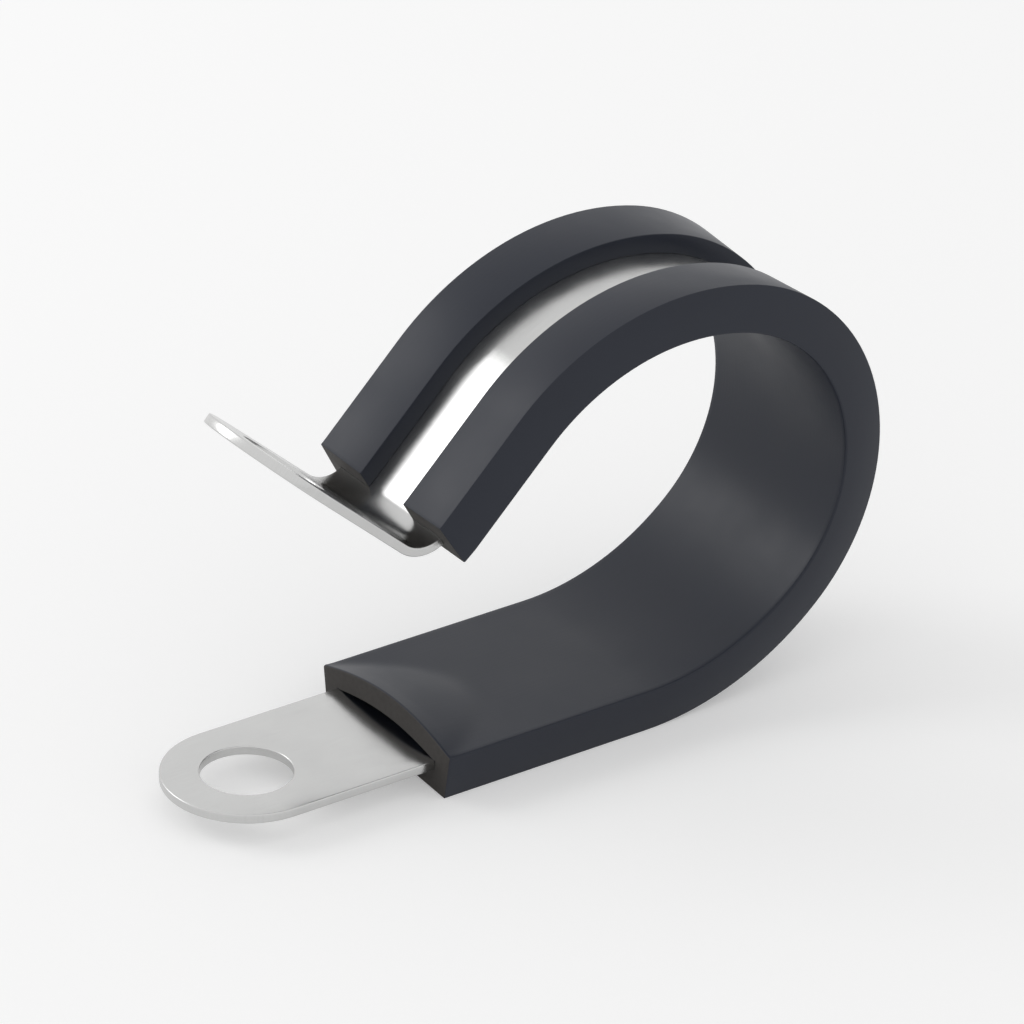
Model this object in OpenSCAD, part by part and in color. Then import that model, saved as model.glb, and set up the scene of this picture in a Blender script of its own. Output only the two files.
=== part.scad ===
// Rubber-lined P clip, sprung open: a stainless steel band bent round a cable,
// with a rubber channel pushed over it and a fixing hole in each end tab.
// Millimetres. The origin is the centre of the lower fixing hole on the
// band's underside. +X runs along the lower tab into the loop, +Z is up.

/* [Band] */
// Width of the steel band
band_w = 12; // [10:0.5:14]
// Thickness of the steel band
band_t = 0.7; // [0.5:0.1:1]
// Diameter of both fixing holes
hole_d = 6.5; // [4:0.1:7.5]
// From the lower fixing hole to the end of the liner
lower_reach = 11.5; // [9:0.5:20]
// From the upper fixing hole back to the bend
upper_reach = 8.1; // [7:0.1:16]
// Angle of the bend between the flank and the upper tab
bend_angle = 86.5; // [60:0.5:110]
// Inside radius of that bend
bend_r = 2.3; // [1.5:0.1:4]
// How far inside the end of the liner that bend begins
bend_lead = 0.75; // [0.25:0.05:1]

/* [Loop] */
// Diameter of the cable or pipe that the liner grips
cable_d = 25; // [18:1:40]
// Length of the flat foot that the clip lies on
foot_run = 17; // [8:0.5:30]
// How much larger the heel's radius is than the grip's
heel_ease = 5.5; // [1:0.5:10]
// Angle that the heel turns through
heel_angle = 43; // [20:1:50]
// Angle that the grip turns through, at the cable's own radius
grip_angle = 120; // [110:1:135]
// How much larger the flank's radius is than the grip's
flank_ease = 4; // [1:0.5:10]
// Angle that the flank turns through
flank_angle = 62; // [40:1:70]
// Length of the straight flank up to the end of the liner
flank_run = 9.5; // [4:0.5:12]

/* [Liner] */
// Width of the liner where it meets the cable
liner_w = 15.5; // [14.6:0.1:20]
// Width of the liner across the back of its lips
liner_back_w = 14.4; // [14.1:0.1:15.4]
// Rubber between the band and the cable
base_t = 1; // [0.8:0.1:2.5]
// Thickness of the lips folded over the back of the band
lip_t = 1.7; // [1:0.1:2.5]
// Open strip of band left between the lips
lip_gap = 5.4; // [3:0.1:8]
// Rounding along the two edges beside the cable
edge_r = 0.3; // [0.1:0.05:0.5]

/* [Lifted end] */
// Length over which the liner's base lifts off the band towards its lower end
lift_run = 6.6; // [4:0.2:12]
// How far the middle of the base has risen at that end
lift_rise = 1.1; // [0.6:0.1:1.6]
// Width of the slit under the lifted base
slit_w = 11.2; // [6:0.1:11.6]
// Height of the slit in its middle
slit_h = 0.6; // [0.3:0.05:0.9]

/* [Hidden] */
$fn = 96;
// How far a cut runs past the face that it opens
past = 1;
// Each turn is a hair slimmer than its neighbours and its ends run a little
// way into them, which joins all the stretches of a sweep into one solid
slim = 0.01;
tail = 0.15;
// Flats that make up each rounded edge
edge_steps = 4;

// Radii of the band's inner face, which carries the base of the liner
grip_r = cable_d / 2 + base_t;
heel_r = grip_r + heel_ease;
flank_r = grip_r + flank_ease;
bend_face_r = bend_r + band_t;

// The liner's section, measured from the band's inner face
back_v = -(band_t + lip_t);
edge_lean = atan2((liner_w - liner_back_w) / 2, base_t - back_v);
edge_run = edge_r / tan((90 - edge_lean) / 2);
flat_w = liner_w - 2 * edge_run;

// How far the band's back has turned away where it leaves the liner
notch_h = bend_r - sqrt(bend_r * bend_r - bend_lead * bend_lead);

// The lifted end is a shallow arch: a round rod's top, sloping into the base
lift_angle = atan2(lift_rise, lift_run);
lift_r = arc_radius(flat_w, lift_rise);
slit_r = arc_radius(slit_w, slit_h);

// Radius of the arc that has this chord and height
function arc_radius(chord, height) = (chord * chord / 4 + height * height) / (2 * height);

// ---- The path: X runs along the band, Z points into the loop ----

// Sweeps a section along a straight stretch
module run(length) {
    rotate([90, 0, 90])
        linear_extrude(length)
            children();
}

// Sweeps a section round a turn towards the inside of the loop, and on past
// both of its ends by the length of an overlap
module turn(r, angle, overlap = 0) {
    extra = overlap / r * 180 / PI;
    translate([0, 0, r])
        rotate([90, 0, 0])
            rotate([0, 0, -90 - extra])
                rotate_extrude(angle = angle + 2 * extra)
                    translate([r, 0])
                        rotate(90)
                            children();
}

module after_run(length) {
    translate([length, 0, 0])
        children();
}

module after_turn(r, angle) {
    translate([r * sin(angle), 0, r * (1 - cos(angle))])
        rotate([0, -angle, 0])
            children();
}

module from_foot() {
    translate([lower_reach, 0, band_t])
        children();
}

module from_heel() {
    from_foot()
        after_run(foot_run)
            children();
}

module from_grip() {
    from_heel()
        after_turn(heel_r, heel_angle)
            children();
}

module from_flank() {
    from_grip()
        after_turn(grip_r, grip_angle)
            children();
}

module from_flank_run() {
    from_flank()
        after_turn(flank_r, flank_angle)
            children();
}

// Sweeps the first child round the straights and the grip, and the second,
// slimmer one round the turns between them
module sweep_loop(last_run) {
    from_foot() run(foot_run) children(0);
    from_heel() turn(heel_r, heel_angle, tail) children(1);
    from_grip() turn(grip_r, grip_angle) children(0);
    from_flank() turn(flank_r, flank_angle, tail) children(1);
    from_flank_run() run(last_run) children(0);
}

// ---- Band ----

// Section of the band, with a margin taken off it all round
module band_section(margin = 0) {
    translate([-band_w / 2 + margin, -band_t + margin])
        square([band_w - 2 * margin, band_t - 2 * margin]);
}

// End tab with a round tip and a hole, a reach away from its root
module tab(reach) {
    translate([0, 0, -band_t])
        linear_extrude(band_t)
            difference() {
                union() {
                    translate([0, -band_w / 2])
                        square([reach, band_w]);
                    translate([reach, 0])
                        circle(d = band_w);
                }
                translate([reach, 0])
                    circle(d = hole_d);
            }
}

module lower_tab() {
    from_foot()
        rotate([0, 0, 180])
            tab(lower_reach);
}

// The bend turns away from the loop, so it is a turn seen upside down
module from_bend() {
    from_flank_run()
        after_run(flank_run - bend_lead)
            mirror([0, 0, 1])
                children();
}

module bend() {
    from_bend()
        turn(bend_face_r, bend_angle, tail)
            mirror([0, 1])
                band_section(slim);
}

module upper_tab() {
    from_bend()
        after_turn(bend_face_r, bend_angle)
            mirror([0, 0, 1])
                tab(upper_reach);
}

module band() {
    color([0.78, 0.78, 0.78]) {
        lower_tab();
        sweep_loop(flank_run - bend_lead) {
            band_section();
            band_section(slim);
        }
        bend();
        upper_tab();
    }
}

// ---- Liner ----

// Rounded edge beside the cable, from the flat base to the leaning side
function edge_round(side, margin) = [
    for (i = [0 : edge_steps])
        let (a = 90 - i * (90 + edge_lean) / edge_steps, r = edge_r - margin)
            [side * (flat_w / 2 + r * cos(a)), base_t - edge_r + r * sin(a)]
];

function turned_over(points) = [for (i = [len(points) - 1 : -1 : 0]) points[i]];

// Channel section: a base under the cable and two lips round the band's edges,
// with a margin taken off it all round
module liner_section(margin = 0) {
    back_x = liner_back_w / 2 - margin;
    difference() {
        polygon(concat(
            edge_round(1, margin),
            [[back_x, back_v + margin], [-back_x, back_v + margin]],
            turned_over(edge_round(-1, margin))
        ));
        band_section(-margin);
        translate([-lip_gap / 2 - margin, back_v - past])
            square([lip_gap + 2 * margin, lip_t + band_t / 2 + past]);
    }
}

// A rod whose top line starts at a height over the liner's end and slopes down
module sloping_rod(r, height) {
    translate([0, 0, height])
        rotate([0, lift_angle, 0])
            translate([0, 0, -r])
                rotate([0, 90, 0])
                    cylinder(h = 2 * lift_run, r = r);
}

// Keeps what lies over the band near the liner's lower end
module over_band(width, bottom) {
    intersection() {
        children();
        translate([-past, -width / 2, bottom])
            cube([lift_run + 2 * past, width, base_t + lift_rise + past]);
    }
}

module lifted_base() {
    from_foot()
        over_band(flat_w, 0)
            sloping_rod(lift_r, base_t + lift_rise);
}

module slit() {
    from_foot()
        over_band(slit_w, -band_t / 2)
            translate([-past, 0, past * tan(lift_angle)])
                sloping_rod(slit_r, slit_h);
}

// Room in the lips for the band, where it begins its bend
module bend_notch() {
    from_bend()
        translate([0, -band_w / 2, band_t / 2])
            cube([bend_lead + past, band_w, band_t / 2 + notch_h]);
}

module liner() {
    color([0.16, 0.17, 0.2])
        difference() {
            union() {
                sweep_loop(flank_run) {
                    liner_section();
                    liner_section(slim);
                }
                lifted_base();
            }
            slit();
            bend_notch();
        }
}

band();
liner();
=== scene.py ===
# Rubber-lined P clip, sprung open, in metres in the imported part's own frame.
# Both pieces start flat, as a stamped steel blank and a straight rubber
# channel, and one Geometry Nodes tree bends them round the same loop.
from math import cos, pi, radians, sin, sqrt

import bmesh
import bpy
from mathutils import Matrix, Vector


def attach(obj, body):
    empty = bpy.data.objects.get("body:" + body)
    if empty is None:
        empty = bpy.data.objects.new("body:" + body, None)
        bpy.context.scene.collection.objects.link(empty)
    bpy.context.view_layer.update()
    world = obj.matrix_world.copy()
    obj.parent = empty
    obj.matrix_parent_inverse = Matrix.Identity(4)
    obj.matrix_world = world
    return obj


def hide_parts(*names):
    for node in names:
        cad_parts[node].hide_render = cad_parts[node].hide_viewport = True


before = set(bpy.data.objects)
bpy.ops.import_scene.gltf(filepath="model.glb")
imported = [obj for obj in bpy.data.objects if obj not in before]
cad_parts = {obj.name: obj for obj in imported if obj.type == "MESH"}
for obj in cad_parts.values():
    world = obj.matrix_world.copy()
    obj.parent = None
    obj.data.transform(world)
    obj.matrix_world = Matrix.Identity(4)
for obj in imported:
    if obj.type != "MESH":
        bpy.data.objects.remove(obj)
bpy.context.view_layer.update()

MM = 0.001

# ---- The clip's own sizes, in millimetres ----

BAND_W = 12.0
BAND_T = 0.7
HOLE_R = 3.25
TAB_R = BAND_W / 2
LOWER_REACH = 11.5
UPPER_REACH = 8.1
FOOT_RUN = 17.0
FLANK_RUN = 9.5
BEND_LEAD = 0.75

# Each turn along the band's inner face: radius and angle
HEEL = (19.0, 43.0)
GRIP = (13.5, 120.0)
FLANK = (17.5, 62.0)
TAB_BEND = (-3.0, 86.5)

LINER_W = 15.5
LINER_BACK_W = 14.4
BASE_T = 1.0
LIP_T = 1.7
LIP_EDGE_T = 1.43
LIP_GAP = 5.15
LIFT_RUN = 6.6
LIFT_RISE = 1.1
SLIT_W = 11.2
SLIT_H = 0.6

# Edge rounding: the strap, the liner, and the liner's softer lifted end
BAND_EDGE_R = 0.1
LINER_EDGE_R = 0.05
ARCH_EDGE_R = 0.18
EDGE_STEPS = 4
SHARP_EDGE = radians(50)

# ---- The studio's levels, where 1 is white ----

PAPER_COLOUR = 0.8
STUDIO_LEVEL = 0.7
SEEN_GLOW = 0.3


def turn_length(turn):
    return abs(turn[0]) * radians(turn[1])


# Where each stretch starts along the flat blank
heel_x = LOWER_REACH + FOOT_RUN
grip_x = heel_x + turn_length(HEEL)
flank_x = grip_x + turn_length(GRIP)
flank_run_x = flank_x + turn_length(FLANK)
liner_end_x = flank_run_x + FLANK_RUN
tab_bend_x = liner_end_x - BEND_LEAD
upper_tab_x = tab_bend_x + turn_length(TAB_BEND)
upper_hole_x = upper_tab_x + UPPER_REACH


# ---- Node trees ----

class Tree:
    """Adds nodes to a tree, and lays them out in a row as they come."""

    def __init__(self, tree):
        self.tree = tree
        self.count = 0

    def node(self, kind, inputs=None, **settings):
        node = self.tree.nodes.new(kind)
        node.location = (220 * (self.count % 8), -260 * (self.count // 8))
        self.count += 1
        for name, value in settings.items():
            setattr(node, name, value)
        for key, value in (inputs or {}).items():
            socket = node.inputs[key]
            if isinstance(value, bpy.types.NodeSocket):
                self.tree.links.new(value, socket)
            else:
                socket.default_value = value
        return node

    def math(self, operation, *values):
        return self.node(
            "ShaderNodeMath", dict(enumerate(values)), operation=operation
        ).outputs[0]


def bending_tree():
    """Bends what lies beyond a start round a turn, about the band's inner face."""
    tree = bpy.data.node_groups.new("bend_round_turn", "GeometryNodeTree")
    face = tree.interface
    face.new_socket("Geometry", in_out="INPUT", socket_type="NodeSocketGeometry")
    for name in ("Flat Place", "Start", "Radius", "Angle", "Inner Face"):
        face.new_socket(name, in_out="INPUT", socket_type="NodeSocketFloat")
    face.new_socket("Geometry", in_out="OUTPUT", socket_type="NodeSocketGeometry")
    t = Tree(tree)
    given = t.node("NodeGroupInput").outputs
    place = t.node("GeometryNodeInputPosition").outputs[0]
    place = t.node("ShaderNodeSeparateXYZ", {0: place}).outputs
    flat = t.math("SUBTRACT", given["Flat Place"], given["Start"])
    length = t.math("MULTIPLY", t.math("ABSOLUTE", given["Radius"]), given["Angle"])
    turned = t.math("MINIMUM", t.math("MAXIMUM", flat, 0.0), length)
    beyond = t.math("SUBTRACT", place[0], given["Start"])
    straight = t.math("SUBTRACT", beyond, turned)
    angle = t.math("DIVIDE", turned, given["Radius"])
    height = t.math("SUBTRACT", place[2], given["Inner Face"])
    arm = t.math("SUBTRACT", given["Radius"], height)
    sine, cosine = t.math("SINE", angle), t.math("COSINE", angle)
    x = t.math("ADD", given["Start"], t.math("MULTIPLY", arm, sine))
    x = t.math("ADD", x, t.math("MULTIPLY", straight, cosine))
    z = t.math("ADD", given["Inner Face"], given["Radius"])
    z = t.math("SUBTRACT", z, t.math("MULTIPLY", arm, cosine))
    z = t.math("ADD", z, t.math("MULTIPLY", straight, sine))
    moved = t.node("ShaderNodeCombineXYZ", {0: x, 1: place[1], 2: z}).outputs[0]
    bent = t.node(
        "GeometryNodeSetPosition", {"Geometry": given["Geometry"], "Position": moved}
    ).outputs[0]
    t.node("NodeGroupOutput", {"Geometry": bent})
    return tree


def forming_tree(bend):
    """Forms a flat piece: the far end is bent first, as on a folding machine."""
    tree = bpy.data.node_groups.new("form_clip", "GeometryNodeTree")
    face = tree.interface
    face.new_socket("Geometry", in_out="INPUT", socket_type="NodeSocketGeometry")
    sizes = {"Inner Face": BAND_T * MM}
    turns = (
        ("Tab Bend", tab_bend_x, TAB_BEND),
        ("Flank", flank_x, FLANK),
        ("Grip", grip_x, GRIP),
        ("Heel", heel_x, HEEL),
    )
    for name, start, (radius, angle) in turns:
        sizes[name + " Start"] = start * MM
        sizes[name + " Radius"] = radius * MM
        sizes[name + " Angle"] = radians(angle)
    for name, value in sizes.items():
        face.new_socket(
            name, in_out="INPUT", socket_type="NodeSocketFloat"
        ).default_value = value
    face.new_socket("Geometry", in_out="OUTPUT", socket_type="NodeSocketGeometry")
    t = Tree(tree)
    given = t.node("NodeGroupInput").outputs
    place = t.node("GeometryNodeInputPosition").outputs[0]
    flat = t.node("ShaderNodeSeparateXYZ", {0: place}).outputs[0]
    shape = t.node(
        "GeometryNodeStoreNamedAttribute",
        {"Geometry": given["Geometry"], "Name": "flat_place", "Value": flat},
    ).outputs[0]
    flat = t.node("GeometryNodeInputNamedAttribute", {"Name": "flat_place"}).outputs[0]
    for name, _, _ in turns:
        step = t.node("GeometryNodeGroup", node_tree=bend)
        tree.links.new(shape, step.inputs["Geometry"])
        tree.links.new(flat, step.inputs["Flat Place"])
        for size in ("Start", "Radius", "Angle"):
            tree.links.new(given[f"{name} {size}"], step.inputs[size])
        tree.links.new(given["Inner Face"], step.inputs["Inner Face"])
        shape = step.outputs[0]
    shape = t.node(
        "GeometryNodeRemoveAttribute", {"Geometry": shape, "Name": "flat_place"}
    ).outputs[0]
    shape = t.node("GeometryNodeRealizeInstances", {0: shape}).outputs[0]
    t.node("NodeGroupOutput", {"Geometry": shape})
    return tree


# ---- Flat pieces ----

def flat_piece(name, points, faces, materials, face_material=None):
    """A piece laid out flat, from points in millimetres, before it is bent."""
    mesh = bpy.data.meshes.new(name + "_flat")
    mesh.from_pydata([tuple(c * MM for c in p) for p in points], [], faces)
    for material in materials:
        mesh.materials.append(material)
    if face_material:
        mesh.polygons.foreach_set("material_index", face_material)
    mesh.validate()
    piece = bpy.data.objects.new(name, mesh)
    bpy.context.scene.collection.objects.link(piece)
    return piece


def spaced(start, end, step):
    count = max(1, round((end - start) / step))
    return [start + (end - start) * i / count for i in range(count)]


def stations(start, end, coarse, fine_runs):
    """Places along the blank, closer together where it is bent or shaped."""
    marks = sorted({start, end} | {m for a, b, _ in fine_runs for m in (a, b)})
    places = []
    for a, b in zip(marks, marks[1:]):
        if b - a < 1e-6:
            continue
        steps = [s for f, g, s in fine_runs if f <= (a + b) / 2 <= g]
        places += spaced(a, b, min(steps, default=coarse))
    return places + [end]


turn_runs = [
    (heel_x, grip_x, 0.8),
    (grip_x, flank_x, 0.6),
    (flank_x, flank_run_x, 0.75),
]


def band_blank():
    """A strap with round tips and a hole in each, all in quads."""
    around = 64
    points, faces = [], []
    rings = {}

    def spoke(i):
        a = 2 * pi * i / around
        return cos(a), sin(a)

    def tip_edge(i, side):
        c, s = spoke(i)
        if c * side > 1e-9:
            return TAB_R / max(abs(c), abs(s)) * c, TAB_R / max(abs(c), abs(s)) * s
        return TAB_R * c, TAB_R * s

    # On each level, the hole's edge, a ring half way and the tab's edge
    for level, z in enumerate((0.0, BAND_T)):
        for tab, (centre, side) in enumerate(((0.0, 1), (upper_hole_x, -1))):
            for ring in range(3):
                first = len(points)
                for i in range(around):
                    c, s = spoke(i)
                    ex, ey = tip_edge(i, side)
                    share = ring / 2
                    x = HOLE_R * c * (1 - share) + ex * share
                    y = HOLE_R * s * (1 - share) + ey * share
                    points.append((centre + x, y, z))
                rings[level, tab, ring] = [first + i for i in range(around)]

    # The strap between the tabs, on the same lines across as the tabs' edges
    eighth = around // 8
    lower_cross = [i % around for i in range(-eighth, eighth + 1)]
    upper_cross = [around // 2 - i for i in range(-eighth, eighth + 1)]
    places = stations(
        TAB_R,
        upper_hole_x - TAB_R,
        1.5,
        turn_runs + [(tab_bend_x, upper_tab_x, 0.15)],
    )
    strap = {}
    for level, z in enumerate((0.0, BAND_T)):
        rows = []
        for n, x in enumerate(places):
            if n == 0:
                row = [rings[level, 0, 2][i] for i in lower_cross]
            elif n == len(places) - 1:
                row = [rings[level, 1, 2][i] for i in upper_cross]
            else:
                row = []
                for i in lower_cross:
                    y = TAB_R * spoke(i)[1] / spoke(i)[0]
                    row.append(len(points))
                    points.append((x, y, z))
            rows.append(row)
        strap[level] = rows

    def quad(level, a, b, c, d):
        faces.append((a, b, c, d) if level else (d, c, b, a))

    for level in (0, 1):
        for tab in (0, 1):
            for ring in (0, 1):
                inner, outer = rings[level, tab, ring], rings[level, tab, ring + 1]
                for i in range(around):
                    j = (i + 1) % around
                    quad(level, inner[i], outer[i], outer[j], inner[j])
        rows = strap[level]
        for near, far in zip(rows, rows[1:]):
            for k in range(len(near) - 1):
                quad(level, near[k], far[k], far[k + 1], near[k + 1])

    # Walls of the holes, and the rim all round the strap
    def wall(low, high):
        for k in range(len(low) - 1):
            faces.append((low[k], low[k + 1], high[k + 1], high[k]))

    for tab in (0, 1):
        low, high = (
            [*rings[level, tab, 0], rings[level, tab, 0][0]] for level in (0, 1)
        )
        wall(low[::-1], high[::-1])
    rims = []
    for level in (0, 1):
        tip = rings[level, 0, 2]
        far_tip = rings[level, 1, 2]
        rim = [row[0] for row in strap[level]]
        rim += [far_tip[i % around] for i in range(-3 * eighth + 1, 3 * eighth)]
        rim += [row[-1] for row in reversed(strap[level])]
        rim += [tip[i] for i in range(eighth + 1, around - eighth)]
        rims.append([*rim, rim[0]])
    wall(*rims)
    return points, faces


def arc_drop(y, chord, height):
    """How far an arch with this chord and height has dropped away at y."""
    r = (chord * chord / 4 + height * height) / (2 * height)
    return r - sqrt(max(r * r - y * y, 0.0))


def eased(value, blend=0.12):
    """Rises from nothing with a soft foot instead of a crease."""
    if value <= -blend:
        return 0.0
    if value >= blend:
        return value
    return (value + blend) ** 2 / (4 * blend)


def liner_channel():
    """The rubber channel laid out straight, its base lifted at the lower end."""
    half_w, half_back = LINER_W / 2, LINER_BACK_W / 2
    half_gap, half_band, half_slit = LIP_GAP / 2, BAND_W / 2, SLIT_W / 2
    back, edge_back = -(BAND_T + LIP_T), -(BAND_T + LIP_EDGE_T)
    slope = LIFT_RISE / LIFT_RUN
    top_y = [half_w * (1 - i / 16) for i in range(33)]
    roof_y = [-half_slit + half_slit * i / 14 for i in range(29)]

    def section(d):
        """Points round the section, a distance from the lower end."""
        crown = [
            (y, BASE_T + eased(LIFT_RISE - slope * d - arc_drop(y, LINER_W, LIFT_RISE)))
            for y in top_y
        ]
        roof = [
            (y, max(0.0, SLIT_H - slope * d - arc_drop(y, SLIT_W, SLIT_H)))
            for y in roof_y
        ]
        return (
            crown
            + [(-half_back, back), (-half_gap, edge_back), (-half_gap, -BAND_T)]
            + [(-half_band, -BAND_T), (-half_band, 0.0)]
            + roof
            + [(half_band, 0.0), (half_band, -BAND_T)]
            + [(half_gap, -BAND_T), (half_gap, edge_back), (half_back, back)]
        )

    places = stations(
        LOWER_REACH,
        liner_end_x,
        1.0,
        turn_runs + [(LOWER_REACH, LOWER_REACH + LIFT_RUN + 1.5, 0.25)],
    )
    points, faces, face_material = [], [], []
    rings = []
    for x in places:
        d = x - LOWER_REACH
        ring = []
        for y, v in section(d):
            # The lifted end's face leans back, as the base curls up
            lift = 1 - arc_drop(y, LINER_W, LIFT_RISE) / LIFT_RISE
            lean = slope * lift * max(v, 0.0) * max(0.0, 1 - d / 1.5)
            ring.append(len(points))
            points.append((x + lean, y, BAND_T + v))
        rings.append(ring)
    for a, b in zip(rings, rings[1:]):
        for k in range(len(a)):
            j = (k + 1) % len(a)
            faces.append((a[k], a[j], b[j], b[k]))
            face_material.append(0)
    faces.append(tuple(reversed(rings[0])))
    faces.append(tuple(rings[-1]))
    face_material += [1, 1]
    return points, faces, face_material


def rounded(piece, radius, soft=lambda middle: False, soft_radius=0.0):
    """Rounds the sharp edges, and the soft ones by a radius of their own."""
    widest = max(radius, soft_radius)
    shape = bmesh.new()
    shape.from_mesh(piece.data)
    weight = shape.edges.layers.float.new("bevel_weight_edge")
    for edge in shape.edges:
        if len(edge.link_faces) == 2 and edge.calc_face_angle() > SHARP_EDGE:
            middle = (edge.verts[0].co + edge.verts[1].co) / 2 / MM
            edge[weight] = (soft_radius if soft(middle) else radius) / widest
    shape.to_mesh(piece.data)
    shape.free()
    bevel = piece.modifiers.new("rounded_edges", "BEVEL")
    bevel.width = widest * MM
    bevel.segments = EDGE_STEPS
    bevel.limit_method = "WEIGHT"
    bevel.use_clamp_overlap = False


def formed(piece, tree):
    """The finished piece: edges rounded while flat, then bent round the loop."""
    form = piece.modifiers.new("form_clip", "NODES")
    form.node_group = tree
    for item in tree.interface.items_tree:
        if item.in_out == "INPUT" and item.socket_type == "NodeSocketFloat":
            form[item.identifier] = item.default_value
    shading = piece.modifiers.new("even_shading", "WEIGHTED_NORMAL")
    shading.keep_sharp = True
    mesh = bpy.data.meshes.new_from_object(
        piece.evaluated_get(bpy.context.evaluated_depsgraph_get())
    )
    piece.modifiers.clear()
    flat = piece.data
    piece.data = mesh
    mesh.name = piece.name
    bpy.data.meshes.remove(flat)


def keep_flat_place(piece):
    """Keeps each point's place along and across the blank as the UV map."""
    uv = piece.data.uv_layers.new(name="blank")
    for loop in piece.data.loops:
        p = piece.data.vertices[loop.vertex_index].co
        uv.data[loop.index].uv = (p.x / MM, p.y / MM)


# ---- Finishes ----

def finish_tree(name):
    material = bpy.data.materials.new(name)
    material.use_nodes = True
    t = Tree(material.node_tree)
    shader = material.node_tree.nodes["Principled BSDF"]
    return material, t, shader


def wire(t, value, socket):
    t.tree.links.new(value, socket)


def brushed_steel():
    material, t, shader = finish_tree("brushed_steel")
    blank = t.node("ShaderNodeUVMap", uv_map="blank").outputs[0]
    grain = t.node("ShaderNodeMapping", {0: blank, "Scale": (0.35, 14.0, 1.0)})
    lines = t.node(
        "ShaderNodeTexNoise",
        {"Vector": grain.outputs[0], "Scale": 1.0, "Detail": 4.0, "Roughness": 0.6},
    ).outputs[0]
    cloud = t.node(
        "ShaderNodeTexNoise", {"Vector": blank, "Scale": 0.3, "Detail": 3.0}
    ).outputs[0]
    tint = t.node(
        "ShaderNodeMix",
        {0: lines, 6: (0.54, 0.54, 0.535, 1), 7: (0.62, 0.62, 0.615, 1)},
        data_type="RGBA",
    ).outputs[2]
    wire(t, tint, shader.inputs["Base Color"])
    rough = t.node(
        "ShaderNodeMapRange", {0: cloud, 1: 0.3, 2: 0.7, 3: 0.18, 4: 0.23}
    ).outputs[0]
    wire(t, rough, shader.inputs["Roughness"])
    bump = t.node(
        "ShaderNodeBump", {"Strength": 0.06, "Distance": 0.00002, "Height": lines}
    ).outputs[0]
    wire(t, bump, shader.inputs["Normal"])
    along = t.node("ShaderNodeTangent", direction_type="UV_MAP", uv_map="blank")
    wire(t, along.outputs[0], shader.inputs["Tangent"])
    shader.inputs["Metallic"].default_value = 1.0
    shader.inputs["Anisotropic"].default_value = 0.85
    shader.inputs["Anisotropic Rotation"].default_value = 0.25
    return material


def moulded_rubber():
    material, t, shader = finish_tree("moulded_rubber")
    blank = t.node("ShaderNodeUVMap", uv_map="blank").outputs[0]
    place = t.node("ShaderNodeTexCoord").outputs["Object"]
    draw = t.node("ShaderNodeMapping", {0: blank, "Scale": (0.12, 5.0, 1.0)})
    lines = t.node(
        "ShaderNodeTexNoise",
        {"Vector": draw.outputs[0], "Scale": 1.0, "Detail": 3.0, "Roughness": 0.55},
    ).outputs[0]
    bloom = t.node(
        "ShaderNodeTexNoise", {"Vector": place, "Scale": 220.0, "Detail": 4.0}
    ).outputs[0]
    speck = t.node(
        "ShaderNodeTexNoise", {"Vector": place, "Scale": 9000.0, "Detail": 2.0}
    ).outputs[0]
    tint = t.node(
        "ShaderNodeMix",
        {0: bloom, 6: (0.015, 0.018, 0.029, 1), 7: (0.021, 0.025, 0.037, 1)},
        data_type="RGBA",
    ).outputs[2]
    wire(t, tint, shader.inputs["Base Color"])
    rough = t.node(
        "ShaderNodeMapRange", {0: bloom, 1: 0.3, 2: 0.7, 3: 0.36, 4: 0.44}
    ).outputs[0]
    wire(t, rough, shader.inputs["Roughness"])
    drawn = t.node(
        "ShaderNodeBump", {"Strength": 0.1, "Distance": 0.00004, "Height": lines}
    ).outputs[0]
    grained = t.node(
        "ShaderNodeBump",
        {"Strength": 0.12, "Distance": 0.00001, "Height": speck, "Normal": drawn},
    ).outputs[0]
    wire(t, grained, shader.inputs["Normal"])
    shader.inputs["Specular IOR Level"].default_value = 0.3
    return material


def cut_rubber():
    material, t, shader = finish_tree("cut_rubber")
    place = t.node("ShaderNodeTexCoord").outputs["Object"]
    crumb = t.node(
        "ShaderNodeTexNoise", {"Vector": place, "Scale": 2600.0, "Detail": 4.0}
    ).outputs[0]
    tint = t.node(
        "ShaderNodeMix",
        {0: crumb, 6: (0.035, 0.032, 0.030, 1), 7: (0.055, 0.051, 0.048, 1)},
        data_type="RGBA",
    ).outputs[2]
    wire(t, tint, shader.inputs["Base Color"])
    bump = t.node(
        "ShaderNodeBump", {"Strength": 0.25, "Distance": 0.00003, "Height": crumb}
    ).outputs[0]
    wire(t, bump, shader.inputs["Normal"])
    shader.inputs["Roughness"].default_value = 0.7
    shader.inputs["Specular IOR Level"].default_value = 0.3
    return material


# ---- The clip ----

forming = forming_tree(bending_tree())
steel, rubber, cut = brushed_steel(), moulded_rubber(), cut_rubber()

strap_points, strap_faces = band_blank()
band = flat_piece("steel_band", strap_points, strap_faces, [steel])
keep_flat_place(band)
rounded(band, BAND_EDGE_R)
formed(band, forming)

channel_points, channel_faces, channel_material = liner_channel()
liner = flat_piece(
    "rubber_liner", channel_points, channel_faces, [rubber, cut], channel_material
)
keep_flat_place(liner)
rounded(
    liner, LINER_EDGE_R, lambda p: p.z > BAND_T + 0.9 * BASE_T, ARCH_EDGE_R
)
formed(liner, forming)

for piece, node, slot in ((band, "band", "steel"), (liner, "liner", "rubber")):
    for polygon in piece.data.polygons:
        polygon.use_smooth = True
    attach(piece, "root")
    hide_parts(node)

# ---- Studio ----

floor_z = -LIP_T * MM
bpy.ops.mesh.primitive_plane_add(size=4.0, location=(0, 0, floor_z))
floor = bpy.context.object
floor.name = "floor"

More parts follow.
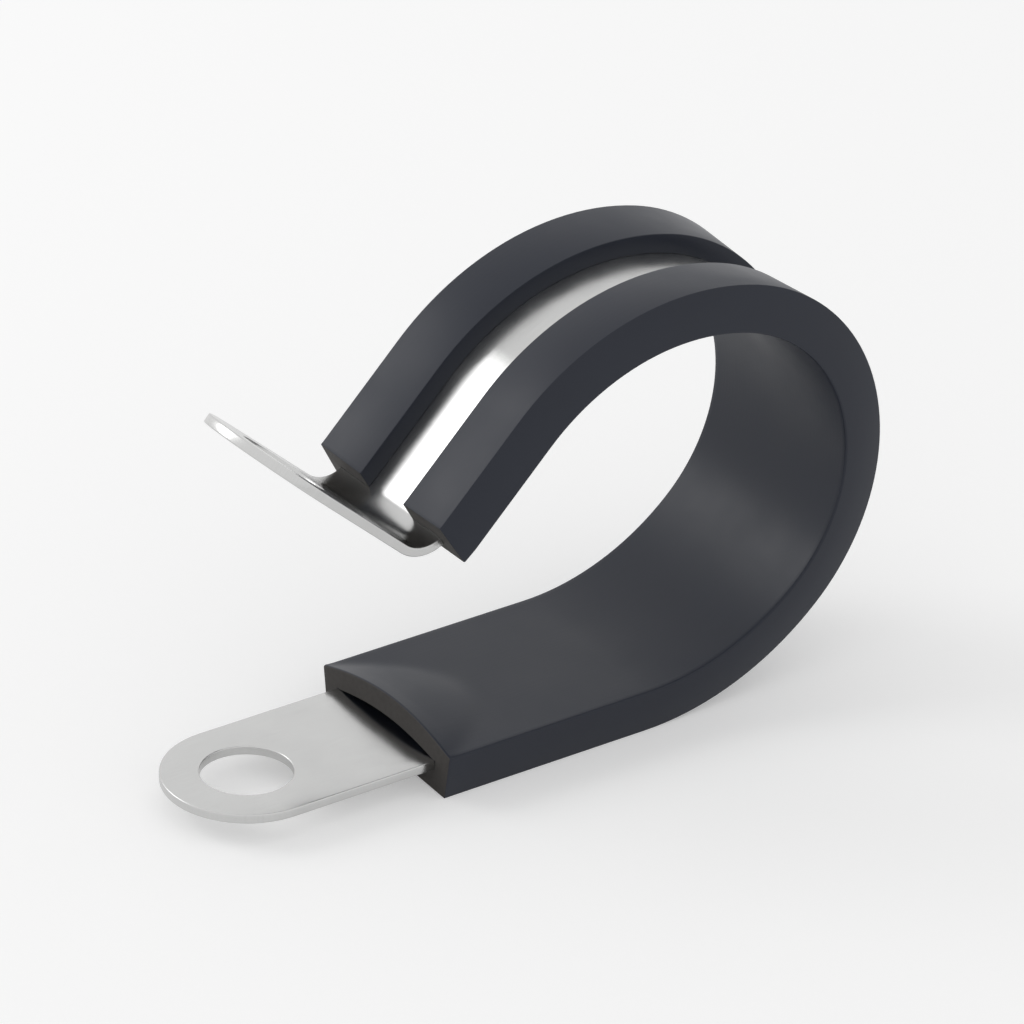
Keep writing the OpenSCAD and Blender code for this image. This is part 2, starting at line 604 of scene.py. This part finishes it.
paper, t, shader = finish_tree("floor_paper")
shader.inputs["Base Color"].default_value = (*[PAPER_COLOUR] * 3, 1)
shader.inputs["Roughness"].default_value = 0.9
shader.inputs["Specular IOR Level"].default_value = 0.0
light_path = t.node("ShaderNodeLightPath").outputs
seen = t.math("MAXIMUM", light_path["Is Camera Ray"], light_path["Is Glossy Ray"])
seen = t.math("MAXIMUM", seen, light_path["Is Transmission Ray"])
shader.inputs["Emission Color"].default_value = (1, 1, 1, 1)
wire(t, t.math("MULTIPLY", seen, SEEN_GLOW), shader.inputs["Emission Strength"])
floor.data.materials.append(paper)

world = bpy.data.worlds.new("studio")
bpy.context.scene.world = world
world.use_nodes = True
t = Tree(world.node_tree)
light_path = t.node("ShaderNodeLightPath").outputs
seen = t.math("MAXIMUM", light_path["Is Camera Ray"], light_path["Is Glossy Ray"])
seen = t.math("MAXIMUM", seen, light_path["Is Transmission Ray"])
level = t.math("ADD", t.math("MULTIPLY", seen, SEEN_GLOW), STUDIO_LEVEL)
wire(t, level, world.node_tree.nodes["Background"].inputs["Strength"])
world.node_tree.nodes["Background"].inputs["Color"].default_value = (1, 1, 1, 1)

middle = Vector((21.8, 0.0, 14.0)) * MM


def softbox(name, towards, distance, width, height, level):
    """A lamp that faces the clip, as bright as its level times white paper."""
    lamp = bpy.data.lights.new(name, "AREA")
    lamp.shape = "RECTANGLE"
    lamp.size, lamp.size_y = width, height
    lamp.energy = level * pi * width * height
    stand = bpy.data.objects.new(name, lamp)
    way = Vector(towards).normalized()
    stand.location = middle + way * distance
    stand.rotation_mode = "QUATERNION"
    stand.rotation_quaternion = way.to_track_quat("Z", "Y")
    bpy.context.scene.collection.objects.link(stand)


softbox("key_softbox", (-0.52, 0.71, 0.5), 0.5, 0.24, 0.24, 2.5)

# ---- Camera ----

AZIMUTH, ELEVATION, ROLL = radians(-35.70), radians(28.73), radians(1.38)
DISTANCE = 0.5596
target = Vector((21.816, 0.0, 14.350)) * MM
back = Vector(
    (sin(AZIMUTH) * cos(ELEVATION), -cos(AZIMUTH) * cos(ELEVATION), sin(ELEVATION))
)
level_right = Vector((cos(AZIMUTH), sin(AZIMUTH), 0.0))
level_up = back.cross(level_right)
right = cos(ROLL) * level_right + sin(ROLL) * level_up
up = cos(ROLL) * level_up - sin(ROLL) * level_right
lens = bpy.data.cameras.new("camera")
lens.sensor_width = 36.0
lens.lens = 285.4
lens.clip_start, lens.clip_end = 0.01, 10.0
camera = bpy.data.objects.new("camera", lens)
camera.matrix_world = Matrix.Translation(target + back * DISTANCE) @ Matrix(
    (right, up, back)
).transposed().to_4x4()
bpy.context.scene.collection.objects.link(camera)
bpy.context.scene.camera = camera
bpy.context.scene.view_settings.view_transform = "Standard"
